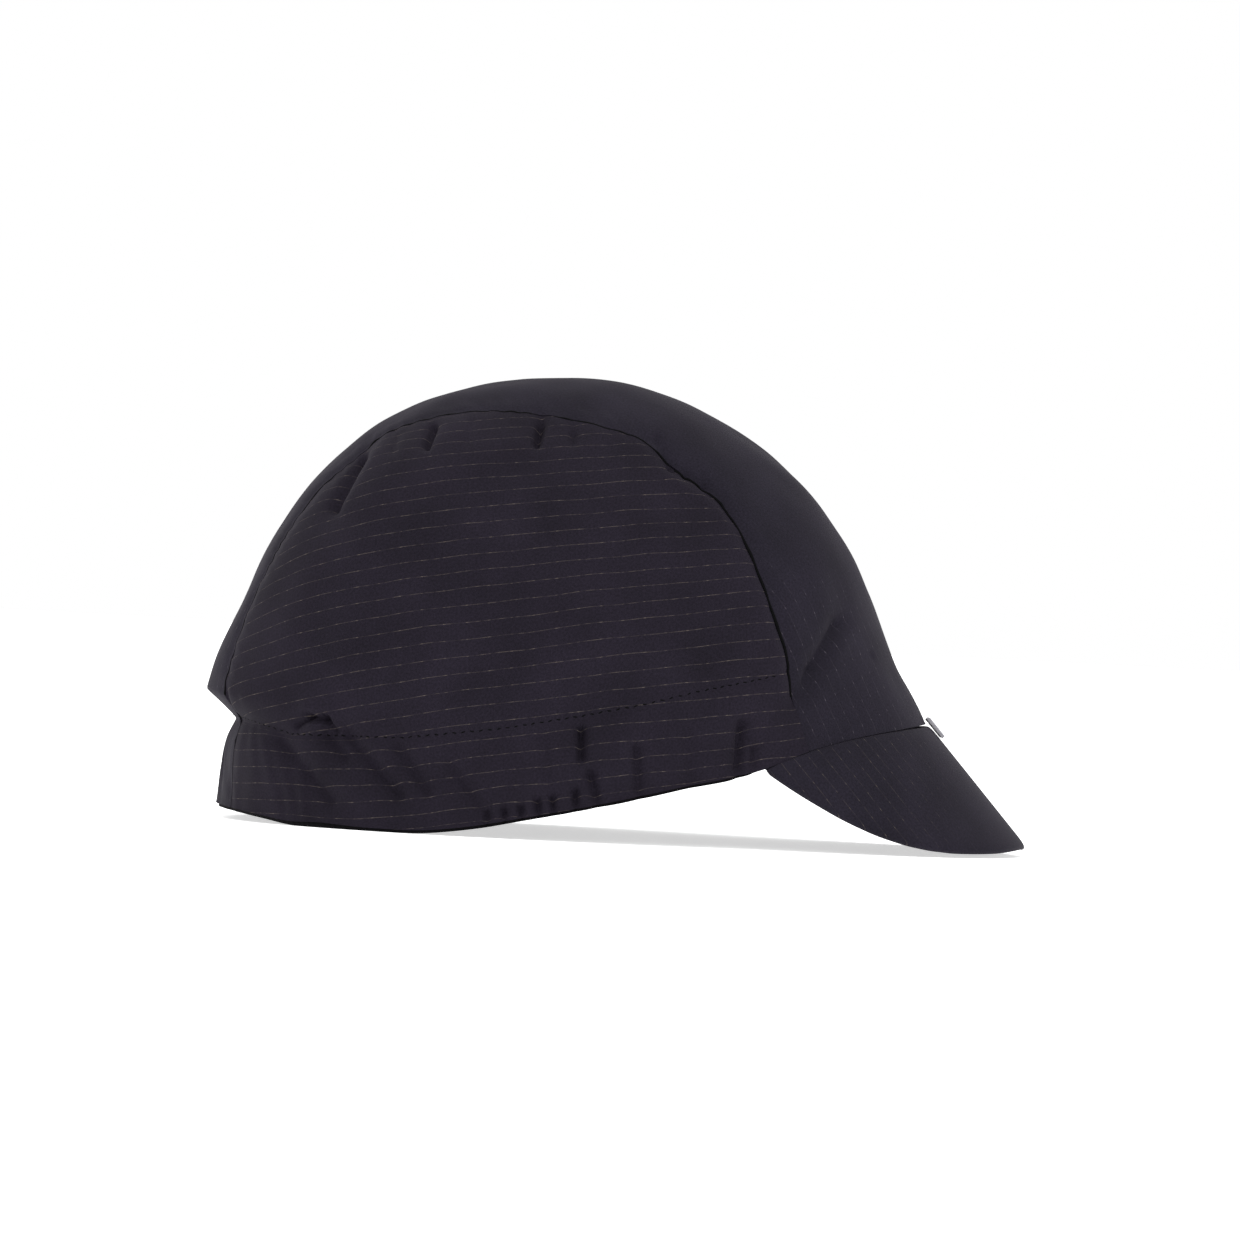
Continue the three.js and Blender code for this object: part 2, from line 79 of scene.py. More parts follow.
def add(material, kind, settings=None, inputs=None):
    """Adds a node with its settings, and gives its inputs a value or another node's output."""
    tree = material.node_tree
    node = tree.nodes.new(kind)
    for name, value in (settings or {}).items():
        setattr(node, name, value)
    for name, value in (inputs or {}).items():
        if isinstance(value, bpy.types.NodeSocket):
            tree.links.new(value, node.inputs[name])
        else:
            node.inputs[name].default_value = value
    return node


def new_material(name):
    material = bpy.data.materials.new(name)
    material.use_nodes = True
    material.node_tree.nodes.clear()
    return material


def ripstop(name, ground, thread, grid_mm, run, roughness, sheen, gone=None):
    """Ripstop: polyester in a fine plain weave with a heavier, paler thread every few millimetres,
    dyed near black and left uncoated. To the eye it is a matt dark cloth with thin broken lines.
    The threads of one direction show, with bright points where they float over those of the other
    direction, which don't show themselves. Between the points a thread shows by the share that
    run gives. gone is an axis of the object, and where on it the threads show fully and where they
    have faded out, because the light doesn't catch them there."""
    material = new_material(name)
    place = add(material, "ShaderNodeUVMap", {"uv_map": "cloth"}).outputs["UV"]
    waver = add(material, "ShaderNodeTexNoise", None, {
        "Vector": place, "Scale": WAVER_SCALE, "Detail": 1.0})
    drawn = add(material, "ShaderNodeVectorMath", {"operation": "MULTIPLY_ADD"},
                {0: waver.outputs["Color"], 1: (WAVER, WAVER, 0), 2: place}).outputs[0]
    lines = []
    for axis, spacing_mm, width_mm in (("Y", grid_mm, THREAD_MM),
                                       ("X", POINT_SPACING_MM, POINT_MM)):
        wave = add(material, "ShaderNodeTexWave", {"bands_direction": axis},
                   {"Vector": drawn, "Scale": WAVE_BAND / (spacing_mm * MM)})
        # The wave is above this value over a width of width_mm
        edge = (1 + math.cos(math.pi * width_mm / spacing_mm)) / 2
        lines.append(add(material, "ShaderNodeMapRange", None,
                         {"Value": wave.outputs["Fac"], "From Min": edge}).outputs[0])
    # A thread's light comes and goes, as its yarn twists and dives between the others
    stretched = add(material, "ShaderNodeMapping", None,
                    {"Vector": place, "Scale": DASH_SCALE}).outputs["Vector"]
    broken = add(material, "ShaderNodeTexNoise", None,
                 {"Vector": stretched, "Scale": 1.0, "Detail": 2.5}).outputs["Fac"]
    dashes = add(material, "ShaderNodeMapRange", None, {
        "Value": broken, "From Min": 0.42, "From Max": 0.66, "To Min": 0.15 * run,
        "To Max": run}).outputs[0]
    threads = add(material, "ShaderNodeMath", {"operation": "MULTIPLY_ADD"},
                  {0: lines[1], 1: broken, 2: dashes}).outputs[0]
    threads = add(material, "ShaderNodeMath", {"operation": "MULTIPLY"},
                  {0: threads, 1: lines[0]}).outputs[0]
    if gone:
        axis, full_at, gone_at = gone
        where = add(material, "ShaderNodeTexCoord").outputs["Object"]
        split = add(material, "ShaderNodeSeparateXYZ", None, {"Vector": where}).outputs[axis]
        caught = add(material, "ShaderNodeMapRange", None, {
            "Value": split, "From Min": full_at, "From Max": gone_at, "To Min": 1.0,
            "To Max": 0.06}).outputs[0]
        threads = add(material, "ShaderNodeMath", {"operation": "MULTIPLY"},
                      {0: threads, 1: caught}).outputs[0]
    weave = add(material, "ShaderNodeTexNoise", None, {
        "Vector": place, "Scale": WEAVE_SCALE, "Detail": 2.0, "Roughness": 0.7}).outputs["Fac"]
    blotches = add(material, "ShaderNodeTexNoise", None, {
        "Vector": place, "Scale": BLOTCH_SCALE, "Detail": 3.0}).outputs["Fac"]
    toned = add(material, "ShaderNodeMapRange", None, {
        "Value": blotches, "From Min": 0.3, "From Max": 0.7, "To Min": 0.8,
        "To Max": 1.2}).outputs[0]
    grained = add(material, "ShaderNodeMapRange", None, {
        "Value": weave, "From Min": 0.3, "From Max": 0.7, "To Min": 0.7,
        "To Max": 1.3}).outputs[0]
    shade = add(material, "ShaderNodeMath", {"operation": "MULTIPLY"},
                {0: toned, 1: grained}).outputs[0]
    # A Mix node's inputs 6 and 7 are its two colours, and its output 2 is the mixed one
    base = add(material, "ShaderNodeMix", {"data_type": "RGBA", "blend_type": "MULTIPLY"},
               {0: 1.0, 6: linear(ground), 7: shade}).outputs[2]
    colour = add(material, "ShaderNodeMix", {"data_type": "RGBA"},
                 {0: threads, 6: base, 7: linear(thread)}).outputs[2]
    height = add(material, "ShaderNodeMath", {"operation": "MULTIPLY_ADD"},
                 {0: weave, 1: 0.5, 2: threads}).outputs[0]
    bump = add(material, "ShaderNodeBump", None, {
        "Height": height, "Strength": 0.5, "Distance": RELIEF}).outputs[0]
    shader = add(material, "ShaderNodeBsdfPrincipled", None, {
        "Base Color": colour, "Normal": bump, "Roughness": roughness,
        "Specular IOR Level": CLOTH_SPECULAR, "Sheen Weight": sheen, "Sheen Roughness": 0.45,
        "Sheen Tint": linear("#cdc2d2")})
    add(material, "ShaderNodeOutputMaterial", None, {"Surface": shader.outputs[0]})
    return material


def plain_cloth(name, ground, light, grain_mm, ribs_mm, roughness, sheen):
    """Soft cloth with no grid: fine loops and ribs that show as a slight grain."""
    material = new_material(name)
    place = add(material, "ShaderNodeUVMap", {"uv_map": "cloth"}).outputs["UV"]
    grain = add(material, "ShaderNodeTexNoise", None, {
        "Vector": place, "Scale": 1 / (grain_mm * MM), "Detail": 2.0}).outputs["Fac"]
    ribs = add(material, "ShaderNodeTexWave", {"bands_direction": "X"}, {
        "Vector": place, "Scale": WAVE_BAND / (ribs_mm * MM), "Distortion": 0.6}).outputs["Fac"]
    both = add(material, "ShaderNodeMix", None, {0: 0.4, 2: grain, 3: ribs}).outputs[0]
    colour = add(material, "ShaderNodeMix", {"data_type": "RGBA"},
                 {0: both, 6: linear(ground), 7: linear(light)}).outputs[2]
    bump = add(material, "ShaderNodeBump", None, {
        "Height": both, "Strength": 0.6, "Distance": RELIEF}).outputs[0]
    shader = add(material, "ShaderNodeBsdfPrincipled", None, {
        "Base Color": colour, "Normal": bump, "Roughness": roughness,
        "Specular IOR Level": CLOTH_SPECULAR, "Sheen Weight": sheen, "Sheen Roughness": 0.5})
    add(material, "ShaderNodeOutputMaterial", None, {"Surface": shader.outputs[0]})
    return material


def thread_finish(name, ground):
    """Spun polyester thread, twisted: fine fuzz over the twist makes it matt."""
    material = new_material(name)
    place = add(material, "ShaderNodeTexCoord").outputs["Object"]
    twist = add(material, "ShaderNodeTexNoise", None,
                {"Vector": place, "Scale": TWIST_SCALE}).outputs["Fac"]
    bump = add(material, "ShaderNodeBump", None, {
        "Height": twist, "Strength": 0.4, "Distance": THREAD_RELIEF}).outputs[0]
    shader = add(material, "ShaderNodeBsdfPrincipled", None, {
        "Base Color": linear(ground), "Normal": bump, "Roughness": 0.7,
        "Specular IOR Level": THREAD_SPECULAR})
    add(material, "ShaderNodeOutputMaterial", None, {"Surface": shader.outputs[0]})
    return material


# Cloth

# Points of a node's triangles that are this close are the same point
SAME_POINT = 0.002 * MM
# An edge is through a wall when its length is this close to the wall's
WALL_SLACK = 0.01 * MM
# A corner on a piece's rim turns by more than this. A fold of the cloth at its stitches is creased
# from the next angle on, fully after as much again, but for the most by the share that follows
CORNER_DEG = 40
FOLD_DEG, FOLD_CREASE = 26, 0.8
# Edges that turn by more than this are shaded sharp
SHADE_SMOOTH_DEG = 50


def ramp(value, zero_at, one_at):
    """From 0 to 1 as the value goes from one place to the other, and level outside them."""
    return np.clip((value - zero_at) / (one_at - zero_at), 0, 1)


def bell(distance, width, power=2):
    """1 where the distance is 0, down to about a third at the width and then to nothing."""
    return np.exp(-(np.abs(distance) / width) ** power)


def select_only(piece):
    bpy.ops.object.select_all(action="DESELECT")
    piece.select_set(True)
    bpy.context.view_layer.objects.active = piece


def copy_of(node, name):
    """A new object with a node's mesh, its loose triangles merged into a grid of quads."""
    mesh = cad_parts[node].data.copy()
    mesh.name = name
    mesh.materials.clear()
    piece = bpy.data.objects.new(name, mesh)
    bpy.context.scene.collection.objects.link(piece)
    select_only(piece)
    bpy.ops.mesh.customdata_custom_splitnormals_clear()
    bpy.ops.object.mode_set(mode="EDIT")
    bpy.ops.mesh.select_all(action="SELECT")
    bpy.ops.mesh.remove_doubles(threshold=SAME_POINT)
    bpy.ops.mesh.tris_convert_to_quads(face_threshold=math.pi, shape_threshold=math.pi)
    bpy.ops.object.mode_set(mode="OBJECT")
    return piece


def split_wall(piece, wall):
    """A wall's rim faces, the faces of its outer side, how sharp each edge is, and the edges that
    go through the wall. Those are as long as the wall is thick, and a face with two of them is on
    the rim."""
    mesh = piece.data
    points = [v.co for v in mesh.vertices]
    through = {e.key for e in mesh.edges
               if abs((points[e.vertices[0]] - points[e.vertices[1]]).length - wall) < WALL_SLACK}
    rim = {f.index for f in mesh.polygons if sum(key in through for key in f.edge_keys) >= 2}
    faces_at = {}
    for face in mesh.polygons:
        for key in face.edge_keys:
            faces_at.setdefault(key, []).append(face.index)
    # The faces that are not on the rim are two sides that don't meet
    sides, left = [], {f.index for f in mesh.polygons} - rim
    while left:
        found, reached = set(), [left.pop()]
        while reached:
            face = reached.pop()
            found.add(face)
            near = {n for key in mesh.polygons[face].edge_keys for n in faces_at[key]}
            reached.extend(near & left)
            left -= near
        sides.append(found)
    outwards = [sum((mesh.polygons[f].center - HEAD_CENTRE).dot(mesh.polygons[f].normal)
                    * mesh.polygons[f].area for f in side) for side in sides]
    outer = sides[outwards.index(max(outwards))]
    sharp = {key: 1.0 for key, faces in faces_at.items() if len(rim & set(faces)) == 1}
    # A corner of the piece, and a fold of the cloth at its stitches, is sharp too
    for key, faces in faces_at.items():
        if key in sharp or len(faces) != 2:
            continue
        one, other = (mesh.polygons[f].normal for f in faces)
        turn = math.degrees(one.angle(other, 0.0))
        if key in through:
            sharp[key] = 1.0 if turn > CORNER_DEG else 0.0
        else:
            sharp[key] = min(max((turn - FOLD_DEG) / FOLD_DEG, 0.0), FOLD_CREASE)
    return rim, outer, sharp, through


def lay_out(piece, outer, level_from, level_to):
    """Gives a piece a UV map in metres, as its cloth would lie flat, and returns its area. The line
    from one place on the cloth to the other lies along U and starts at the map's middle."""
    mesh = piece.data
    mesh.uv_layers.new(name="cloth")
    select_only(piece)
    bpy.ops.object.mode_set(mode="EDIT")
    bpy.ops.mesh.select_mode(type="FACE")
    bpy.ops.mesh.select_all(action="DESELECT")
    bpy.ops.object.mode_set(mode="OBJECT")
    for index in outer:
        mesh.polygons[index].select = True
    bpy.ops.object.mode_set(mode="EDIT")
    bpy.ops.uv.unwrap(method="ANGLE_BASED", margin=0)
    bpy.ops.object.mode_set(mode="OBJECT")
    uv = mesh.uv_layers["cloth"].data
    flat = {}
    shown_area, flat_area = 0.0, 0.0
    for index in outer:
        face = mesh.polygons[index]
        corners = [uv[i].uv.copy() for i in face.loop_indices]
        flat.update(zip(face.vertices, corners))
        shown_area += face.area
        flat_area += abs(sum(a.x * b.y - a.y * b.x for a, b in
                             zip(corners, corners[1:] + corners[:1]))) / 2
    tree = kdtree.KDTree(len(flat))
    for vertex in flat:
        tree.insert(mesh.vertices[vertex].co, vertex)
    tree.balance()
    scale = math.sqrt(shown_area / flat_area)
    start, end = (flat[tree.find(place)[1]] for place in (level_from, level_to))
    run = end - start
    spin = Matrix.Rotation(-math.atan2(run.y, run.x), 2) * scale
    # The inner side takes the places of the outer one
    for vertex in range(len(mesh.vertices)):
        if vertex not in flat:
            flat[vertex] = flat[tree.find(mesh.vertices[vertex].co)[1]]
    laid = {vertex: spin @ (place - start) for vertex, place in flat.items()}
    for loop in mesh.loops:
        uv[loop.index].uv = laid[loop.vertex_index]
    return shown_area


# The stitch line at the top of the hem in the side view: x and height above the table, in mm
HEM_LINE = [(-112, 30), (-107, 29.4), (-92, 25.8), (-61, 26.6), (-33, 30.6), (-11, 35.2), (6, 39.2),
            (22, 43.8), (39, 48), (48, 50.5), (70, 56)]


def hem_height(x):
    return np.interp(x / MM, *zip(*HEM_LINE)) * MM


# How a side panel's threads rise to the front: by a slope, less a bow about a place along the
# cloth, and in the lower front by a slope that starts at an x
THREAD_SLOPE, THREAD_BOW, BOW_AT = 0.13, 0.8, 70 * MM
FRONT_SLOPE, FRONT_FROM = 0.045, -30 * MM
# In the rear of the hem: by a slope, a bow over a length from an x on, and a slope after that
REAR_SLOPE, REAR_BOW, AFTER_SLOPE = 0.05, 2.3, 0.19
BOW_FROM, BOW_LENGTH = -80 * MM, 30 * MM
# At this x, and below this height, the threads of the rear meet those of the front
MEET_AT, MEET_WITHIN, MEET_BELOW = -52 * MM, 4 * MM, 20 * MM
# A crease pulls the hem's threads by this share of its depth
CREASE_PULL = 0.35


def bend_threads(piece):
    """A side panel is cut so that its threads rise a little to the front, less so further on. In
    the rear of the hem they lie almost level, because the crown is gathered there."""
    mesh = piece.data
    corner = np.empty(len(mesh.loops), dtype=int)
    mesh.loops.foreach_get("vertex_index", corner)
    laid = np.empty(len(mesh.loops) * 2)
    uv = mesh.uv_layers["cloth"].data
    uv.foreach_get("uv", laid)
    along, up = laid.reshape(-1, 2).T
    x, _, z = places(piece)[corner].T
    over_hem = z - hem_height(x)
    # On the left side the layout came out with V running down
    up = up * np.sign(np.sum((up - up.mean()) * (z - z.mean())))
    up -= THREAD_SLOPE * along + THREAD_BOW * (along - BOW_AT) ** 2
    up += FRONT_SLOPE * np.clip(x - FRONT_FROM, 0, None) * ramp(over_hem, 20 * MM, -10 * MM)
    past = x - BOW_FROM
    rise = (REAR_SLOPE * x + REAR_BOW * np.clip(past, 0, BOW_LENGTH) ** 2
            + AFTER_SLOPE * np.clip(past - BOW_LENGTH, 0, None))
    meet = (np.abs(x - MEET_AT) < MEET_WITHIN) & (z < MEET_BELOW)
    level = z - rise + np.median((up - z + rise)[meet])
    in_hem = ramp(over_hem, -0.5 * MM, -2 * MM)
    up += in_hem * ramp(x, -35 * MM, -65 * MM) * (level - up)
    up += CREASE_PULL * in_hem * creased(places(piece))[corner]
    laid = np.stack([along, up], axis=1)
    uv.foreach_set("uv", laid.ravel())


def refine(piece, sharp, levels, most=1.0):
    """Subdivides a piece, with its wall's corners kept as sharp as most allows."""
    mesh = piece.data
    crease = mesh.attributes.new("crease_edge", "FLOAT", "EDGE")
    for edge in mesh.edges:
        crease.data[edge.index].value = most * sharp[edge.key]
    select_only(piece)
    smooth = piece.modifiers.new("smooth", "SUBSURF")
    smooth.levels = smooth.render_levels = levels
    bpy.ops.object.modifier_apply(modifier=smooth.name)
    bpy.ops.object.shade_smooth_by_angle(angle=math.radians(SHADE_SMOOTH_DEG))


def places(piece):
    points = np.empty(len(piece.data.vertices) * 3)
    piece.data.vertices.foreach_get("co", points)
    return points.reshape(-1, 3)


def put(piece, points):
    piece.data.vertices.foreach_set("co", points.ravel())
    piece.data.update()


def outward(points):
    """The crown's smooth outward direction at each point. It is level down at the hem."""
    towards = (points - np.array(HEAD_CENTRE)) / CROWN_RADII ** 2
    towards[:, 2] *= ramp(points[:, 2], 35 * MM, 65 * MM)
    return towards / np.linalg.norm(towards, axis=1)[:, None]


def soft_noise(points, size, seed):
    """Smooth noise from -1 to 1 whose lumps are about that size. Each seed has its own lumps."""
    shift = Vector((seed * 7.3, seed * 3.1, seed * 5.7))
    return np.array([noise.noise(Vector(p) / size + shift) for p in points])


# Creases in the side view: from and to (x, z), depth and width in millimetres. A negative depth
# stands out. They are on both sides alike. First the pleats of the side panel at its top seam and
# the forehead's tuck, then the overhang at the nape, and the hem's folds from there to the front.
CREASES = [
    ((-75.0, 111), (-78.0, 104), 2.6, 1.1),
    ((-77.5, 105), (-83.5, 90), 3.2, 1.4),
    ((-73.0, 106), (-80, 91), -0.7, 3.0),
    ((-57.0, 115), (-58.5, 109), 3.0, 1.0),
    ((-67.0, 113), (-68, 107), 0.6, 1.4),
    ((-46.0, 117), (-47, 111), 0.5, 1.4),
    ((-26.2, 119), (-27.3, 112), 3.4, 1.1),
    ((-17.0, 118), (-17, 113), 1.6, 1.4),
    ((-6.0, 117), (-7, 111), 0.5, 1.4),
    ((6.5, 114.5), (11.2, 107), 3.4, 1.0),
    ((11.2, 107), (15.5, 105.2), 2.6, 1.0),
    ((15.5, 105.2), (20.7, 102.2), 3.0, 1.0),
    ((20.7, 102.2), (31, 92.6), 2.2, 1.1),
    ((11.0, 103), (16, 100), -0.7, 1.8),
    ((49.0, 41), (60.5, 65), 2.6, 1.9),
    ((53.5, 42), (65.5, 64), -0.5, 3.0),
    ((-88.0, 33.5), (-82, 33.5), -1.0, 2.2),
    ((-91.0, 28.5), (-87.5, 31), 2.6, 0.9),
    ((-87.5, 31), (-83, 31), 2.6, 0.9),
    ((-83.0, 31), (-80.5, 27.5), 2.4, 0.9),
    ((-87.0, 28.7), (-84, 28.9), -0.8, 1.3),
    ((-96.0, 24), (-80, 8), 2.0, 2.2),
    ((-83.0, 27), (-77, 20), 1.8, 1.5),
    ((-77.0, 27), (-61, 11), 2.3, 2.2),
    ((-72.0, 27), (-56, 12), -0.8, 3.0),
    ((-62.0, 24), (-53, 12), 1.9, 1.8),
    ((-47.0, 20), (-38, 9), 1.6, 1.9),
    ((-21.0, 29), (-19, 16), 1.2, 2.0),
    ((-10.4, 31), (-10.1, 23.5), 3.4, 1.3),
    ((-7.2, 19), (-4.2, 8), 3.0, 1.5),
    ((-6.0, 31), (-4, 22), -0.6, 2.4),
    ((-11.2, 14), (-10.7, 6), 3.0, 1.1),
    ((-17.5, 12), (-16.9, 4), 3.0, 1.1),
    ((-21.6, 11), (-21.1, 3), 3.0, 1.1),
    ((-26.2, 9), (-25.9, 2), 2.8, 1.1),
    ((-30.8, 8), (-30.5, 1), 2.6, 1.1),
    ((-35.6, 7), (-35.3, 1), 2.4, 1.2),
    ((5.4, 27), (6.9, 12), 2.2, 1.5),
    ((19.0, 32), (20.5, 18), 1.0, 1.8),
    ((34.6, 35), (34.1, 21), 2.9, 1.6),
    ((38.6, 28), (38.3, 20), 1.8, 1.1),
]


# A higher power gives a crease a flatter bottom and steeper sides
CREASE_POWER = 1.5


def creased(points):
    """How far in the creases pull the cloth, at each point."""
    depth = np.zeros(len(points))
    flat = points[:, [0, 2]]
    for start, end, deep, wide in CREASES:
        start, end = np.array(start) * MM, np.array(end) * MM
        run = end - start
        share = np.clip((flat - start) @ run / (run @ run), 0, 1)
        off = np.linalg.norm(flat - start - share[:, None] * run, axis=1)
        depth += deep * MM * bell(off, wide * MM, CREASE_POWER)
    return depth


# Points of an edge loop for each edge that goes through the wall
EDGE_STEPS = 12


def edge_loop(piece, rim, through):
    """Points close together round a wall's rim in their order, halfway through the wall."""
    mesh = piece.data
    middle, reached_from = {}, {}
    for index in rim:
        keys = [key for key in mesh.polygons[index].edge_keys if key in through]
        for key, other in (keys, keys[::-1]):
            middle[key] = sum((mesh.vertices[v].co for v in key), Vector()) / 2
            reached_from.setdefault(key, []).append(other)
    start = last = next(iter(middle))
    here = reached_from[start][0]
    loop = [start]
    while here != start:
        loop.append(here)
        ahead = [key for key in reached_from[here] if key != last]
        last, here = here, ahead[0]
    ends = [middle[key] for key in loop]
    return [one.lerp(other, step / EDGE_STEPS) for one, other in zip(ends, ends[1:] + ends[:1])
            for step in range(EDGE_STEPS)]


# The rim in the side view, as the stitch line is given
RIM_LINE = [(-112, 4), (-100, 3.2), (-89, 1), (-80, 0), (-62, 0), (-42, 1.8), (-25, 5.3),
            (-3, 10.3), (19, 16.1), (41, 22.3), (54, 29), (66, 33), (81, 36)]


def rim_height(x):
    return np.interp(x / MM, *zip(*RIM_LINE)) * MM


def edge_distance(points, line):
    """How far each point is from the nearest point of a line."""
    tree = kdtree.KDTree(len(line))
    for i, point in enumerate(line):
        tree.insert(point, i)
    tree.balance()
    return np.array([tree.find(point)[2] for point in points])


# The cloth's soft lumps: how large they are, how far they stand out or in, and their seed
LUMPS = [(34 * MM, 0.9 * MM, 1), (13 * MM, 0.4 * MM, 2)]
# The ripples of the hem are this far apart, round a head of this radius
GATHER_MM, HEAD_MM = 9.0, 90
# How high they are at the sides, and how much higher in the middle
GATHER_SIDE, GATHER_MIDDLE = 0.3 * MM, 0.35 * MM


def cloth_moves(points):
    """How far out the cloth moves at each point, away from its seams."""
    x, y, z = points.T
    # Both sides move alike
    mirrored = np.stack([x, -np.abs(y), z], axis=1)
    side = ramp(np.abs(y), 12 * MM, 32 * MM)
    below = ramp(z - hem_height(x), 0, -6 * MM)
    rear = ramp(x, -20 * MM, -90 * MM)
    soft = sum(deep * soft_noise(mirrored, size, seed) for size, deep, seed in LUMPS)
    # The hem is gathered by the elastic behind, in upright ripples that fade to the front
    round_it = np.arctan2(np.abs(y), HEAD_CENTRE.x - x) * HEAD_MM
    phase = round_it / GATHER_MM + 1.2 * soft_noise(mirrored, 20 * MM, 4)
    gathers = np.sin(2 * math.pi * phase) * (0.4 + 0.6 * soft_noise(mirrored, 18 * MM, 5))
    gathers *= below * (0.3 + 0.7 * rear) * (GATHER_SIDE + GATHER_MIDDLE * (1 - side))
    return soft - side * creased(points) + gathers


# The puckers of the seams: how deep they are, and how far apart along x and in height
PUCKER_DEPTH = 0.3 * MM
PUCKER_ALONG, PUCKER_UP = 6.5 * MM, 9 * MM
# How deep the seam lies, and how much deeper at the front
SEAM_DEPTH, FRONT_DEEPER = 0.7 * MM, 1.3 * MM
# How far the stitches of the hem draw it in
STITCH_DEPTH = 0.45 * MM
# The rim is lifted by the first, over the peak by the second less, and below the overhang of the
# nape, at this x, by the third more. In that gap the sweatband's near-black edge shows as a dark
# line, partly its own colour and partly painted shade under the hem and the overhang
RIM_LIFT, PEAK_LESS, NAPE_MORE = 0.9 * MM, 1.5 * MM, 0.6 * MM
NAPE_AT = -83 * MM


def panel_places(points, to_edge, forward):
    """Where the points of a crown panel go, given how far each is from the panel's edge. At the
    foot of the seam its edge comes that much forward."""
    x, y, z = points.T
    over_hem = z - hem_height(x)
    over_rim = z - rim_height(x)
    at_rim = ramp(over_rim, 0.5 * MM, 3.5 * MM)
    # A seam holds the cloth, and the rim doesn't
    free = np.maximum(ramp(to_edge, 0, 6 * MM), 0.3)
    moved = np.maximum(free, ramp(over_rim, 14 * MM, 4 * MM)) * cloth_moves(points)
    # Puckers of the seams, and the way their edges roll in
    phase = x / PUCKER_ALONG + z / PUCKER_UP + 1.3 * soft_noise(points, 20 * MM, 3)
    puckers = 0.5 + 0.5 * np.sin(2 * math.pi * phase)
    near_seam = bell(to_edge, 6 * MM) * ramp(over_hem, 0, 15 * MM)
    moved -= PUCKER_DEPTH * near_seam * puckers
    # The front of the seam is drawn in deep, and its foot is hidden under the forehead's tuck
    deep = SEAM_DEPTH + FRONT_DEEPER * ramp(x, 0, 20 * MM)
    deep *= np.maximum(ramp(z, 38 * MM, 44 * MM), 0.25)
    moved -= deep * bell(to_edge, 2.1 * MM, 1.5) * at_rim
    sewn = np.abs(y) > 30 * MM
    moved -= STITCH_DEPTH * bell(over_hem, 1.2 * MM) * sewn
    foot = bell(to_edge, 1 * MM) * (x > 45 * MM) * ramp(z, 43 * MM, 40 * MM)
    points = points + outward(points) * (moved * (0.6 + 0.4 * at_rim))[:, None]
    points[:, 0] += forward * foot
    # The rim stands back from the sweatband's near-black edge, which shows below it as a dark line
    # that is partly painted shade under the hem, and over the peak it comes down onto the seam
    lift = RIM_LIFT - PEAK_LESS * ramp(points[:, 0], 34 * MM, 46 * MM)
    lift += NAPE_MORE * bell(points[:, 0] - NAPE_AT, 8 * MM)
    points[:, 2] += lift * ramp(over_rim, 3 * MM, 0)
    return points


# Rounds of subdivision. The band hardly shows, so it has one fewer
LEVELS, BAND_LEVELS = 3, 2
# How far the panels' edges come together at the foot of the seam
SEAM_CLOSING = 0.35 * MM


def crown_panel(node, name, level_from, level_to, material):
    """One of the crown's three panels. Returns it with its cloth's area and its edge."""
    piece = copy_of(node, name)
    rim, outer, sharp, through = split_wall(piece, CLOTH_WALL)
    area = lay_out(piece, outer, Vector(level_from), Vector(level_to))
    edge = edge_loop(piece, rim, through)
    refine(piece, sharp, LEVELS)
    if "side" in node:
        bend_threads(piece)
    points = places(piece)
    forward = SEAM_CLOSING if "side" in node else -SEAM_CLOSING
    put(piece, panel_places(points, edge_distance(points, edge), forward))
    piece.data.materials.append(material)
    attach(piece, "root")
    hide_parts(node)
    return piece, area, edge


# A near-black roll along each seam, which paints the shade of its crease: its radius, how far it
# lies out from the seam's bottom, and how much more of each at the front, where the seam shows most
SHADE_ROLL_RADIUS, SHADE_ROLL_OUT = 0.36 * MM, 0.4 * MM
FRONT_THICKER, FRONT_OUT = 0.12 * MM, 0.22 * MM
# Over the peak the forehead's tuck hides it below this height
SHADE_ROLL_FOOT = 43 * MM
SHADE_ROLL_FACES = 8


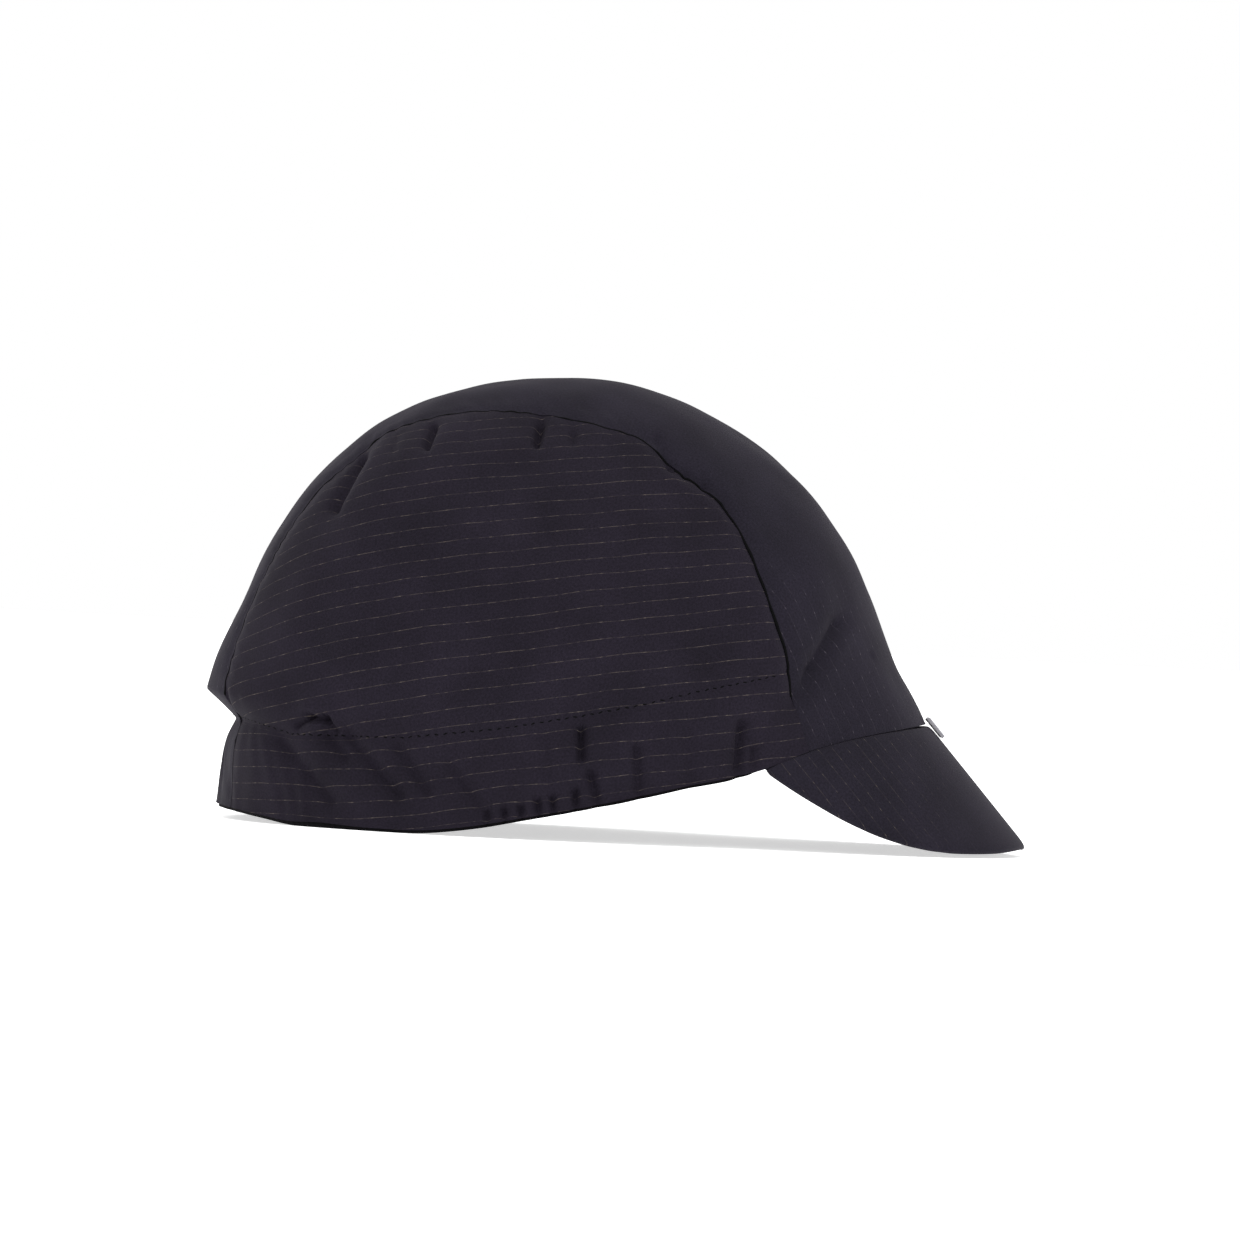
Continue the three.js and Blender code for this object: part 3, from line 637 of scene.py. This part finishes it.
def seam_shade_roll(edge, name, material):
    """A near-black roll along the seam between two panels, made with the thread's finish. It is
    painted shade: it darkens the seam's crease as the crease's depth would."""
    path = np.array([tuple(point) for point in edge])
    over_rim = path[:, 2] - rim_height(path[:, 0])
    shown = (over_rim > 1.5 * MM) & ((path[:, 0] < 0) | (path[:, 2] > SHADE_ROLL_FOOT))
    # The loop is turned round so that what shows of it is one run
    first = next(i for i in range(len(path)) if shown[i] and not shown[i - 1])
    path = np.roll(path, -first, axis=0)[:shown.sum()]
    away = outward(path)
    front = ramp(path[:, 0], -10 * MM, 20 * MM)
    path = panel_places(path, np.full(len(path), CLOTH_WALL / 2), 0)
    path += (SHADE_ROLL_OUT + FRONT_OUT * front)[:, None] * away
    thick = (SHADE_ROLL_RADIUS + FRONT_THICKER * front) * (1 + 0.5 * soft_noise(path, 8 * MM, 6))
    along = np.gradient(path, axis=0)
    along /= np.linalg.norm(along, axis=1)[:, None]
    across = np.cross(along, away)
    across /= np.linalg.norm(across, axis=1)[:, None]
    over = np.cross(across, along)
    turns = np.arange(SHADE_ROLL_FACES) * 2 * math.pi / SHADE_ROLL_FACES
    lines = [path + thick[:, None] * (math.cos(turn) * across + math.sin(turn) * over)
             for turn in turns]
    points = np.stack(lines, axis=1).reshape(-1, 3)
    faces = []
    for ring in range(0, len(points) - SHADE_ROLL_FACES, SHADE_ROLL_FACES):
        for k in range(SHADE_ROLL_FACES):
            here, beside = ring + k, ring + (k + 1) % SHADE_ROLL_FACES
            faces.append((here, beside, beside + SHADE_ROLL_FACES, here + SHADE_ROLL_FACES))
    faces += [tuple(range(SHADE_ROLL_FACES))[::-1],
              tuple(range(len(points) - SHADE_ROLL_FACES, len(points)))]
    mesh = bpy.data.meshes.new(name)
    mesh.from_pydata([tuple(point) for point in points], [], faces)
    piece = bpy.data.objects.new(name, mesh)
    bpy.context.scene.collection.objects.link(piece)
    select_only(piece)
    bpy.ops.object.mode_set(mode="EDIT")
    bpy.ops.mesh.select_all(action="SELECT")
    bpy.ops.mesh.normals_make_consistent(inside=False)
    bpy.ops.object.mode_set(mode="OBJECT")
    bpy.ops.object.shade_smooth()
    mesh.materials.append(material)
    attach(piece, "root")
    return piece


finishes = {
    # The same uncoated ripstop all over. Its lines run along the side panels, and down the centre
    # panel and the peak, where the light catches them less
    "side": ripstop("ripstop polyester, side", "#1b1720", "#5a524d", 4.7, 0.6, 0.8, 0.025),
    "centre": ripstop("ripstop polyester, centre", "#1c1922", "#5a545c", 4.7, 0.2, 0.78, 0.04,
                      ("Z", 0.066, 0.085)),
    "peak": ripstop("ripstop polyester, peak", "#1c1922", "#5c544d", 4.1, 0.28, 0.75, 0.04,
                    ("X", 0.076, 0.1)),
    # Polyester knitted in narrow ribs and brushed: it takes the light in, so it is the darkest. It
    # is near black also so that its edge below the rim paints the shade under the hem as a dark
    # line
    "band": plain_cloth("knit sweatband and painted rim shade", "#070708", "#121114", 0.8, 1.6, 0.85, 0.01),
    # Polyester tape, woven flat and folded: light grey, smoother than the rest, with a soft sheen
    "tab": plain_cloth("woven grey tape", "#8e8c92", "#b6b5ba", 0.35, 0.7, 0.45, 0.1),
    # Spun polyester, twisted and dyed black: matt, so that a row of it reads as a dark line. The
    # seams' near-black rolls take it too, as painted shade in their creases
    "thread": thread_finish("black thread, also painted seam shade", "#050506"),
}

# Each panel's node, the name of its piece, and two places on it between which its cloth is level
panels = [
    ("centre_panel", "centre_panel_cloth", (0.05, 0, 0.11), (-0.07, 0, 0.11), finishes["centre"]),
    ("side_panel_right", "side_panel_right_cloth", (-0.08, -0.06, 0.04), (0.02, -0.075, 0.05),
     finishes["side"]),
    ("side_panel_left", "side_panel_left_cloth", (-0.08, 0.06, 0.04), (0.02, 0.075, 0.05),
     finishes["side"]),
]
made = {}
for node, name, level_from, level_to, material in panels:
    made[node] = crown_panel(node, name, level_from, level_to, material)

# Sweatband. Its lower edge comes out and down, to show as a dark line below the rim, but stays off
# the table. That line is partly the band's near-black colour and partly painted shade under the hem
BAND_OUT, BAND_DOWN, OFF_TABLE = 0.9 * MM, 1.15 * MM, 0.05 * MM
band = copy_of("sweatband", "sweatband_knit")
_, outer, sharp, _ = split_wall(band, BAND_WALL)
band_area = lay_out(band, outer, Vector((-0.02, -0.07, 0.01)), Vector((0.02, -0.07, 0.012)))
refine(band, sharp, BAND_LEVELS)
points = places(band)
low = ramp(points[:, 2] - rim_height(points[:, 0]), 4.2 * MM, 1.2 * MM)
moved = (1 - 0.4 * low) * cloth_moves(points) + BAND_OUT * low
points += outward(points) * moved[:, None]
points[:, 2] -= BAND_DOWN * low
points[:, 2] = np.maximum(points[:, 2], OFF_TABLE)
put(band, points)
band.data.materials.append(finishes["band"])
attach(band, "root")
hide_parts("sweatband")

# Peak. Its board is bound with the cloth, so its edges are soft
PEAK_CREASE = 0.18
peak = copy_of("peak", "peak_cloth")
_, outer, sharp, _ = split_wall(peak, PEAK_WALL)
lay_out(peak, outer, Vector((0.075, 0.0, 0.035)), Vector((0.1, 0.0, 0.01)))
refine(peak, sharp, LEVELS, PEAK_CREASE)
peak.data.materials.append(finishes["peak"])
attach(peak, "root")
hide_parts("peak")

# Tab. It is moved back and up to the rim, which comes down onto the seam
TAB_CREASE = 0.6
TAB_MOVE = np.array([-0.8, 0, 1.3]) * MM
tab = copy_of("front_tab", "front_tab_tape")
_, outer, sharp, _ = split_wall(tab, TAPE_WALL)
lay_out(tab, outer, Vector((0.09, -0.007, 0.035)), Vector((0.09, 0.007, 0.035)))
refine(tab, sharp, LEVELS, TAB_CREASE)
put(tab, places(tab) + TAB_MOVE)
tab.data.materials.append(finishes["tab"])
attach(tab, "root")
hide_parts("front_tab")


# Stitches of the hem. Their row goes round the back, between these angles from the front
COURSE_FROM, COURSE_TO, COURSE_STEP = 44, 316.1, 0.25
# The search for the cloth starts this far out, at this height, and is repeated this often
SEARCH_OUT, SEARCH_HEIGHT, SEARCHES = 0.3, 27 * MM, 4
# A stitch is sunk this far into the cloth. A gap in the course longer than this isn't sewn over
SUNK, LONGEST_STEP = 0.05 * MM, 3 * MM


def cloth_tree(pieces):
    """A tree of the panels' faces, for finding the cloth's surface from outside."""
    points, faces = [], []
    for piece in pieces:
        first = len(points)
        points.extend(v.co.copy() for v in piece.data.vertices)
        faces.extend([first + v for v in f.vertices] for f in piece.data.polygons)
    return BVHTree.FromPolygons(points, faces)


def hem_course(tree):
    """Points and outward directions close together along the hem's stitch line."""
    course = []
    for degrees in np.arange(COURSE_FROM, COURSE_TO, COURSE_STEP):
        angle = math.radians(degrees)
        away = Vector((math.cos(angle), math.sin(angle), 0))
        height = SEARCH_HEIGHT
        for _ in range(SEARCHES):
            found, normal = tree.ray_cast(
                Vector((HEAD_CENTRE.x, 0, height)) + SEARCH_OUT * away, -away)[:2]
            height = hem_height(found.x)
        course.append((found, normal))
    return course


def sew(course, name, material, pitch, length, width, zigzag_deg):
    """A row of stitches. One is modelled, and then copied along the course with its own mesh."""
    bpy.ops.object.select_all(action="DESELECT")
    bpy.ops.mesh.primitive_uv_sphere_add(segments=8, ring_count=6, radius=0.5)
    first = bpy.context.active_object
    bpy.ops.object.mode_set(mode="EDIT")
    bpy.ops.transform.resize(value=(width, 0.7 * width, length))
    bpy.ops.object.mode_set(mode="OBJECT")
    stitches, since, turn = [], pitch, 1
    for (point, normal), (following, _) in zip(course, course[1:]):
        step = following - point
        since += step.length
        if since < pitch or step.length > LONGEST_STEP:
            continue
        since, turn = 0.0, -turn
        along = (step - step.project(normal)).normalized()
        along.rotate(Quaternion(normal, math.radians(turn * zigzag_deg)))
        across = normal.cross(along).normalized()
        stitch = first.copy()
        stitch.data = first.data.copy()
        bpy.context.scene.collection.objects.link(stitch)
        stitch.data.transform(Matrix.Translation(point - SUNK * normal)
                              @ Matrix((across, normal, along)).transposed().to_4x4())
        stitches.append(stitch)
    bpy.data.objects.remove(first)
    bpy.ops.object.select_all(action="DESELECT")
    for stitch in stitches:
        stitch.select_set(True)
    row = stitches[0]
    bpy.context.view_layer.objects.active = row
    bpy.ops.object.join()
    row.name = row.data.name = name
    bpy.ops.object.shade_smooth()
    row.data.materials.clear()
    row.data.materials.append(material)
    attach(row, "root")


tree = cloth_tree([piece for piece, _, _ in made.values()])
sew(hem_course(tree), "hem_stitches", finishes["thread"], pitch=2.3 * MM, length=1.4 * MM,
    width=0.45 * MM, zigzag_deg=16)

# The side panels. The peak is a board covered with cloth
sides = ["side_panel_right", "side_panel_left"]
# Near-black rolls along the side panels' seams: painted shade of the seams' creases
seam_shade_rolls = {side: seam_shade_roll(made[side][2], side.replace("side_panel", "seam_shade_roll"), finishes["thread"])
         for side in sides}

# Studio

CAP_MIDDLE = Vector((0, 0, 0.06))
WORLD_STRENGTH = 1.0
FLOOR_SIZE, FLOOR_GLOW = 40, 0.6


def light(name, place, energy, size):
    """A soft rectangular lamp that points at the middle of the cap."""
    lamp = bpy.data.lights.new(name, "AREA")
    lamp.energy = energy
    lamp.shape = "RECTANGLE"
    lamp.size, lamp.size_y = size
    holder = bpy.data.objects.new(name, lamp)
    bpy.context.scene.collection.objects.link(holder)
    holder.location = place
    holder.rotation_mode = "QUATERNION"
    holder.rotation_quaternion = (CAP_MIDDLE - Vector(place)).to_track_quat("-Z", "Y")


# Standard keeps the floor and the background white, and the cloth as dark as its colours say
bpy.context.scene.view_settings.view_transform = "Standard"

world = bpy.data.worlds.new("studio")
world.use_nodes = True
world.node_tree.nodes["Background"].inputs["Color"].default_value = (1, 1, 1, 1)
world.node_tree.nodes["Background"].inputs["Strength"].default_value = WORLD_STRENGTH
bpy.context.scene.world = world

bpy.ops.object.select_all(action="DESELECT")
bpy.ops.mesh.primitive_plane_add(size=FLOOR_SIZE, location=(0, 0, 0))
floor = bpy.context.active_object
floor.name = "floor"
# White paper, uncoated and matt, with a glow of its own that keeps it pale all over
paper = new_material("white paper floor")
shader = add(paper, "ShaderNodeBsdfPrincipled", None, {
    "Base Color": linear("#ffffff"), "Roughness": 0.9, "Emission Color": (1, 1, 1, 1),
    "Emission Strength": FLOOR_GLOW})
add(paper, "ShaderNodeOutputMaterial", None, {"Surface": shader.outputs[0]})
floor.data.materials.append(paper)

light("key", (0.25, -0.5, 1.4), 7, (0.9, 0.6))
light("fill", (-0.9, 0.5, 0.9), 2, (0.8, 0.8))

# The camera looks along +Y from the wearer's right. It is rolled, because the cap in the photo is
# tilted and here it lies flat
ROLL = math.radians(2.9)
LENS_MM, SENSOR_MM = 199.7, 36
CAMERA_X, CAMERA_Y, CAMERA_Z = -0.00123, -2.0, 0.06218
camera = bpy.data.cameras.new("camera")
camera.sensor_width = SENSOR_MM
camera.lens = LENS_MM
eye = bpy.data.objects.new("camera", camera)
bpy.context.scene.collection.objects.link(eye)
eye.matrix_world = Matrix((
    (math.cos(ROLL), -math.sin(ROLL), 0, CAMERA_X),
    (0, 0, -1, CAMERA_Y),
    (math.sin(ROLL), math.cos(ROLL), 0, CAMERA_Z),
    (0, 0, 0, 1),
))
bpy.context.scene.camera = eye
